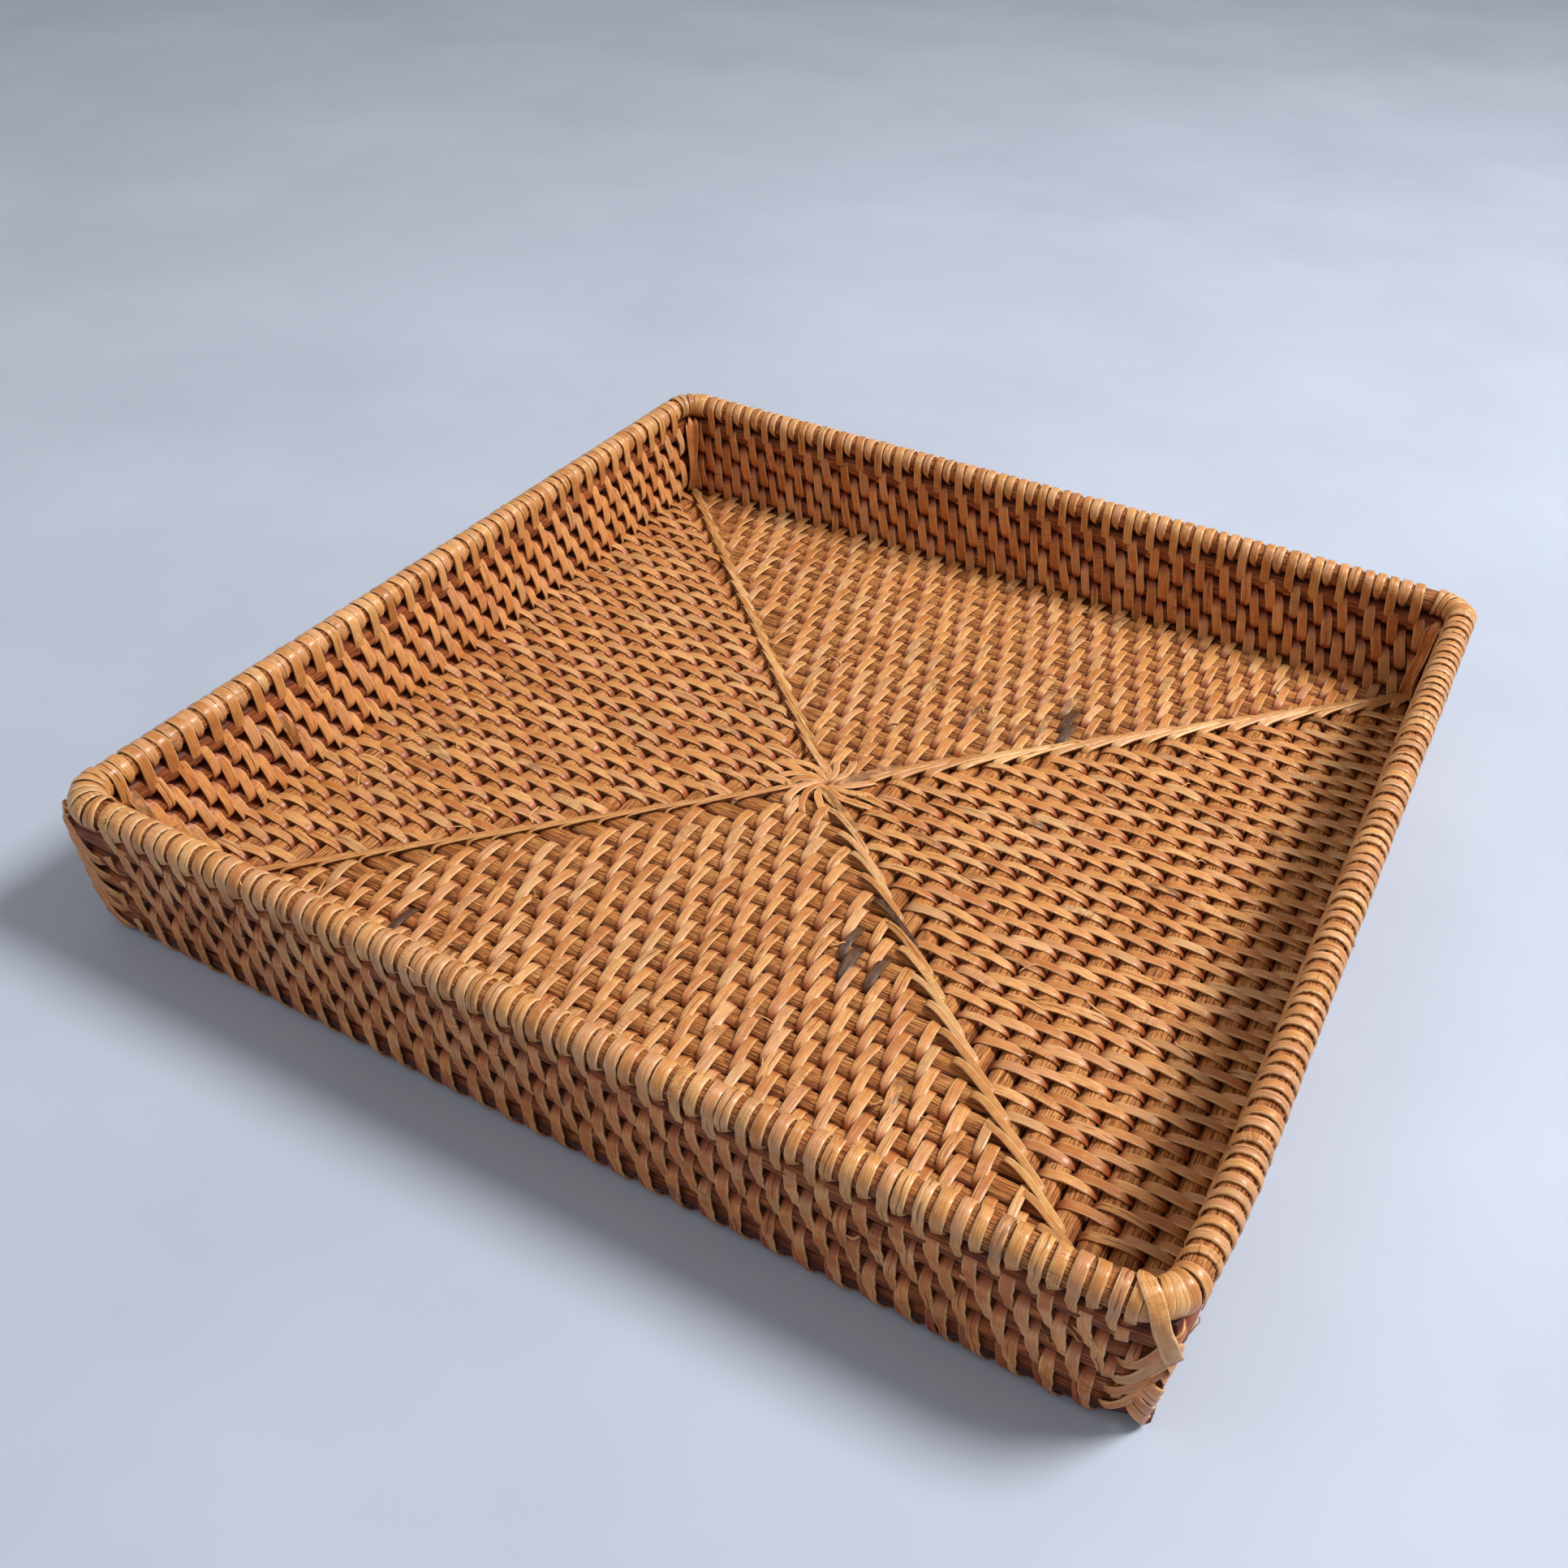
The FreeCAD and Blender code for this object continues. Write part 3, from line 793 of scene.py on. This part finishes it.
def lacing():
    soup = Soup()
    for q in range(4):
        rng = np.random.default_rng(610 + q)
        for i in range(5 if q else 4):
            for sgn in (-1, 1):
                z0 = (5.0, 11.0, 16.8, 22.5, 27.6)[i] + (0 if sgn < 0 else -2.6) + rng.normal(0, 0.3)
                w0 = rng.uniform(0.95, 1.1)
                down = 0.4 * (q == 3)
                top = 1.0 if i == (4 if q else 3) else 0.0
                path = ((9.4, -0.5, -1.6), (8.6, -0.2, 0.0), (7.4, 0.3, 0.5), (6.0, 1.3, 0.65), (4.6, 3.2, 0.7), (3.4, 6.4, 0.7),
                        (2.4, 9.4, 0.7 - 0.2 * top), (1.5, 11.6 + 0.6 * top, 0.6 - 0.3 * top), (0.8 - 1.6 * top, 13.0 + 1.4 * top, -0.4), (0.4 - 2.2 * top, 13.6 + 1.9 * top, -1.6))
                pts, nrm = [], []
                for w, dz, off in path:
                    z = min(max(z0 + dz, 1.0), 38.5)
                    p, nn = corner_point(sgn * w * w0, z, off - down)
                    pts.append(p)
                    nrm.append(nn)
                loose(soup, q, pts, nrm, 2.6 * rng.uniform(0.9, 1.1), 0.5, rng, n=30, ends=(0.10, 0.6), dive=(0.12, 0.1))
        # short strips that cross the edge over them
        if q == 0:
            for i in range(4):
                z0 = 6.6 + 4.1 * i + rng.normal(0, 0.3)
                path = ((-3.4, 2.4, -0.6), (-2.7, 1.9, 0.9), (-1.4, 0.6, 1.25), (0.2, -1.4, 1.3), (1.7, -3.8, 1.15), (3.0, -6.2, 0.6), (3.8, -7.6, -1.0))
                pts, nrm = [], []
                for w, dz, off in path:
                    p, nn = corner_point(w, max(z0 + dz, 1.0), off)
                    pts.append(p)
                    nrm.append(nn)
                loose(soup, q, pts, nrm, 2.4 * rng.uniform(0.9, 1.1), 0.5, rng, n=20, ends=(0.9, 0.5), dive=(0.06, 0.1))
        # long strips that run up the inside of the corner
        for i in range(7):
            wa, wb = rng.uniform(-4.5, 4.5), rng.uniform(-3.5, 3.5)
            mid = rng.uniform(-3.0, 3.0)
            zt = rng.uniform(33.0, 37.5)
            pts, nrm = [], []
            for t, off in ((0.0, -1.0), (0.06, 0.5), (0.35, 0.9 + 0.3 * i % 1.0), (0.65, 0.9), (0.94, 0.8), (1.0, -0.6)):
                w = wa * (1 - t) ** 2 + mid * 2 * t * (1 - t) + wb * t * t
                z = 7.6 + (zt - 7.6) * t
                hh = WALL[0][0] + (RIM[0] - WALL[0][0]) * (z / 40.0) - WALL[1][2] - 0.9 - off
                k = 3.0
                x = hh - max(-w, 0) - k * max(0, 1 - abs(w) / 4.5) * 0.5
                y = -hh + max(w, 0) + k * max(0, 1 - abs(w) / 4.5) * 0.5
                pts.append(np.array([x, y, z]))
                a = math.radians(45 + 12 * max(-3.7, min(3.7, w)))
                nrm.append(np.array([-math.sin(a), math.cos(a), 0.0]))
            loose(soup, q, pts, nrm, 2.0 * rng.uniform(0.7, 1.15), 0.45, rng, n=22, ends=(0.4, 0.5), dive=(0.2, 0.15),
                  tone=[float(rng.uniform(0, 0.5)), 0.5])
    return soup


build("corner_plaits", lacing(), M_WALL, ["corner_lacing"])


def rim_corners():
    """Wraps that fan round the bends of the rim."""
    soup = Soup()
    for q in range(4):
        rng = np.random.default_rng(720 + q)
        angs = [-66, -51, -36, -21, -7] if q == 0 else [-80, -62, -44, -26, -8] + ([10] if q == 3 else [])
        for an0 in angs:
            an = math.radians(an0 + rng.normal(0, 1.5))
            o = np.array([math.cos(an), math.sin(an), 0])
            side = np.array([-math.sin(an), math.cos(an), 0])
            c = np.array([RIM_FLAT, -RIM_FLAT, RIM[1]]) + o * RIM_BEND
            n = 30
            th = np.linspace(math.radians(-60), math.radians(-60 + 372), n)
            r = RIM[2] + 0.12 + 0.25 * rng.random() + (0.5 if q == 3 else 0)
            rad = RIM_BEND + r * np.cos(th)
            P = c[None] + o[None] * (r * np.cos(th))[:, None] + np.array([0, 0, 1.0])[None] * (r * np.sin(th))[:, None]
            P = P + side[None] * (np.linspace(-1.2, 1.2, n) * rad / RIM_BEND)[:, None]
            N = o[None] * np.cos(th)[:, None] + np.array([0, 0, 1.0])[None] * np.sin(th)[:, None]
            w = np.clip((3.3 if q else 2.9) * rad / (RIM_BEND + RIM[2]), 1.4, 3.5) * rng.uniform(0.88, 1.06)
            tn, mk = looks(rng, "rim")
            # tone z: painted shade on the underside of each wrap
            to = np.stack([np.full(n, tn[0]), np.full(n, tn[1]), np.clip(-np.sin(th), 0, 1)], 1)
            ribbon(soup, turned(P, q), turned(N, q), w, 0.62, to, np.tile(np.array(mk), (n, 1)), 80 + an0 * 0.1 + q, along0=q * 91.0,
                   roll=np.full(n, rng.normal(0.10, 0.03)))
    rng = np.random.default_rng(799)
    cross = [((137.0, -141.6, 42.9), (0, .9, .3)), ((137.4, -143.6, 44.5), (0, .4, .9)), ((139.5, -146.0, 44.9), (.05, -.2, .97)),
             ((141.6, -147.5, 43.6), (.3, -.65, .68)), ((143.2, -148.7, 41.3), (.42, -.86, .25)), ((144.6, -149.2, 38.4), (.3, -.95, 0)),
             ((146.3, -149.0, 35.2), (.4, -.92, 0)), ((147.4, -148.6, 32.3), (.55, -.83, 0)), ((148.3, -147.9, 29.6), (.65, -.76, 0))]
    loose(soup, 0, [c[0] for c in cross], [c[1] for c in cross], 3.8, 0.6, rng, n=30, ends=(0.7, 1.0), dive=(0.1, 0.03),
          tone=[0.62, 0.4], mark=[0, 0.4, 0])
    return soup


build("rim_corners", rim_corners(), M_RIM, ["rim_corner_wraps"])

# -------------------------------------------------------------- loose fibres
def frays():
    """Thin fibres that have come away from the strips."""
    soup = Soup()
    rng = np.random.default_rng(88)
    for i in range(150):
        if i < 95:
            x, y = rng.uniform(-134, 134, 2)
            p0 = np.array([x, y, TOP + 0.35])
            an = rng.uniform(0, 2 * math.pi)
            d = np.array([math.cos(an), math.sin(an), 0])
            up = np.array([0, 0, 1.0])
            q = 0
        else:
            q = int(rng.integers(0, 4))
            x = rng.uniform(-138, 138)
            if rng.random() < 0.5:
                p0 = np.array([x, -RIM[0] - rng.uniform(1.5, 3.9), RIM[1] + rng.uniform(0.0, 3.0)])
            else:
                p0 = np.array([x, -WALL[2][0] - 3.6, rng.uniform(6, 34)])
            an = rng.uniform(0, 2 * math.pi)
            d = np.array([math.cos(an), 0, math.sin(an)])
            up = np.array([0, -1.0, 0.3])
        ln = rng.uniform(2.0, 5.5)
        if q and d[2] > 0 and p0[2] > RIM[1]:
            d[2] *= -1
        side = np.cross(d, up)
        b1, b2 = rng.normal(0, 0.25, 2)
        pts = [p0 - d * 0.8 - up * 0.7, p0, p0 + d * ln * 0.4 + up * rng.uniform(0.1, 0.5) + side * ln * b1 * 0.5,
               p0 + d * ln * 0.8 + up * rng.uniform(0.1, 1.0) + side * ln * (b1 + b2), p0 + d * ln + up * rng.uniform(-0.2, 0.9) + side * ln * (b1 * 1.6 + b2 * 1.5)]
        dark = rng.random() < 0.35
        loose(soup, q, pts, [up] * 5, rng.uniform(0.22, 0.55), rng.uniform(0.15, 0.28), rng, n=9, ends=(1.0, 0.35), dive=(0.2, 0.0),
              tone=[0.1 if dark else float(rng.uniform(0.3, 0.9)), 0.5], mark=[0, 0, 0.8 if dark else 0.0])
    return soup


build("loose_fibres", frays(), M_MITRE)

# ---------------------------------------------------------------- cut core end
s = Soup()
lo, hi = node_box("core_tail")
c = (lo + hi) / 2 + np.array([5.8, 0, 0.3])
hi = hi + np.array([0, 4.7, 0])
lo = lo + np.array([0, 3.3, 0])
sides, n = 22, 9
rng = np.random.default_rng(5)
ang = np.arange(sides) * 2 * np.pi / sides
g = 1 + rng.normal(0, 0.05, sides)
V, A = [], []
for i, t in enumerate(np.linspace(0, 1, n)):
    y = hi[1] + (lo[1] - hi[1]) * t
    k = (1.95 - 0.6 * max(0, t - 0.35)) * g
    x = c[0] + k * np.cos(ang) * 1.02 + 0.6 * t
    z = c[2] - 0.15 + k * np.sin(ang) * (0.88 - 0.25 * t)
    yy = np.full(sides, y) + (0.9 * np.cos(ang - 0.6)) * t
    V.append(np.stack([x, np.maximum(yy, lo[1] - 0.6), np.maximum(z, 0.05)], 1))
    A.append(t * 3)
V = np.array(V)
f = []
for i in range(n - 1):
    for j in range(sides):
        f.append((i * sides + j, (i + 1) * sides + j, (i + 1) * sides + (j + 1) % sides, i * sides + (j + 1) % sides))
for j in range(sides // 2 - 1):
    f.append((j, j + 1, sides - 2 - j, sides - 1 - j))
    b = (n - 1) * sides
    f.append((b + j, b + sides - 1 - j, b + sides - 2 - j, b + j + 1))
fib = np.zeros((n, sides, 3))
fib[..., 0] = np.array(A)[:, None]
fib[..., 1] = (ang * 2.6)[None]
fib[..., 2] = 3.3
tone = np.zeros((n * sides, 3))
tone[:, 0] = 0.2
s.add(V.reshape(-1, 3), np.array(f), fib.reshape(-1, 3), tone, np.zeros((n * sides, 3)))
M_TAIL = core_material("core_cut", lin(176, 104, 54), lin(140, 72, 34), lin(84, 36, 14))
build("core_tail_cut", s, M_TAIL, ["core_tail"])

# ------------------------------------------------------------ camera and light
R = np.array([[0.8703493966607334, 0.49167551623997025, 0.027333394638356462],
              [0.3217407401598115, -0.5257603667944779, -0.7874382088961346],
              [-0.372793272275284, 0.6941406366423842, -0.6157872625412053]])
C = np.array([1.0457, -2.1881, 1.9436]) * RIM[0] * MM
cam_data = bpy.data.cameras.new("camera")
cam = bpy.data.objects.new("camera", cam_data)
bpy.context.scene.collection.objects.link(cam)
cam_data.sensor_width = 36.0
cam_data.lens = 1843.3 / 1932.0 * 36.0
cam_data.clip_start = 0.01
cam.matrix_world = Matrix([[R[0][i], -R[1][i], -R[2][i], C[i]] for i in range(3)] + [[0, 0, 0, 1]])
bpy.context.scene.camera = cam

me = bpy.data.meshes.new("ground")
e = 6.0
me.from_pydata([(-e, -e, 0), (e, -e, 0), (e, e, 0), (-e, e, 0)], [], [(0, 1, 2, 3)])
ground = bpy.data.objects.new("ground", me)
bpy.context.scene.collection.objects.link(ground)
gm, gnt, gb = mat("ground")
gg = Net(gnt)
tc = gg.node("ShaderNodeTexCoord").outputs["Object"]
gn = gg.noise(tc, 7.0, 4.0, 0.55)
gg.put(gb.inputs["Base Color"], gg.ramp(gn, [(0.25, lin(160, 169, 186)), (0.75, lin(172, 181, 198))]))
gb.inputs["Roughness"].default_value = 0.75
me.materials.append(gm)


def area(name, loc, target, size, power, colour=(1, 1, 1)):
    d = bpy.data.lights.new(name, "AREA")
    d.shape = "DISK"
    d.size = size
    d.energy = power
    d.color = colour
    o = bpy.data.objects.new(name, d)
    bpy.context.scene.collection.objects.link(o)
    o.location = loc
    o.rotation_euler = (Vector(target) - Vector(loc)).to_track_quat("-Z", "Y").to_euler()
    return o


area("key", (0.85, 0.42, 1.25), (0, 0, 0), 0.55, 33.5, (1.0, 0.98, 0.95))
area("fill", (-0.9, -0.9, 1.2), (0, 0, 0), 1.4, 4.5, (1.0, 0.97, 0.93))
world = bpy.data.worlds.new("world")
bpy.context.scene.world = world
world.use_nodes = True
bg = world.node_tree.nodes.get("Background")
bg.inputs[0].default_value = (1.0, 0.98, 0.96, 1)
bg.inputs[1].default_value = 0.40
bpy.context.scene.view_settings.view_transform = "Standard"
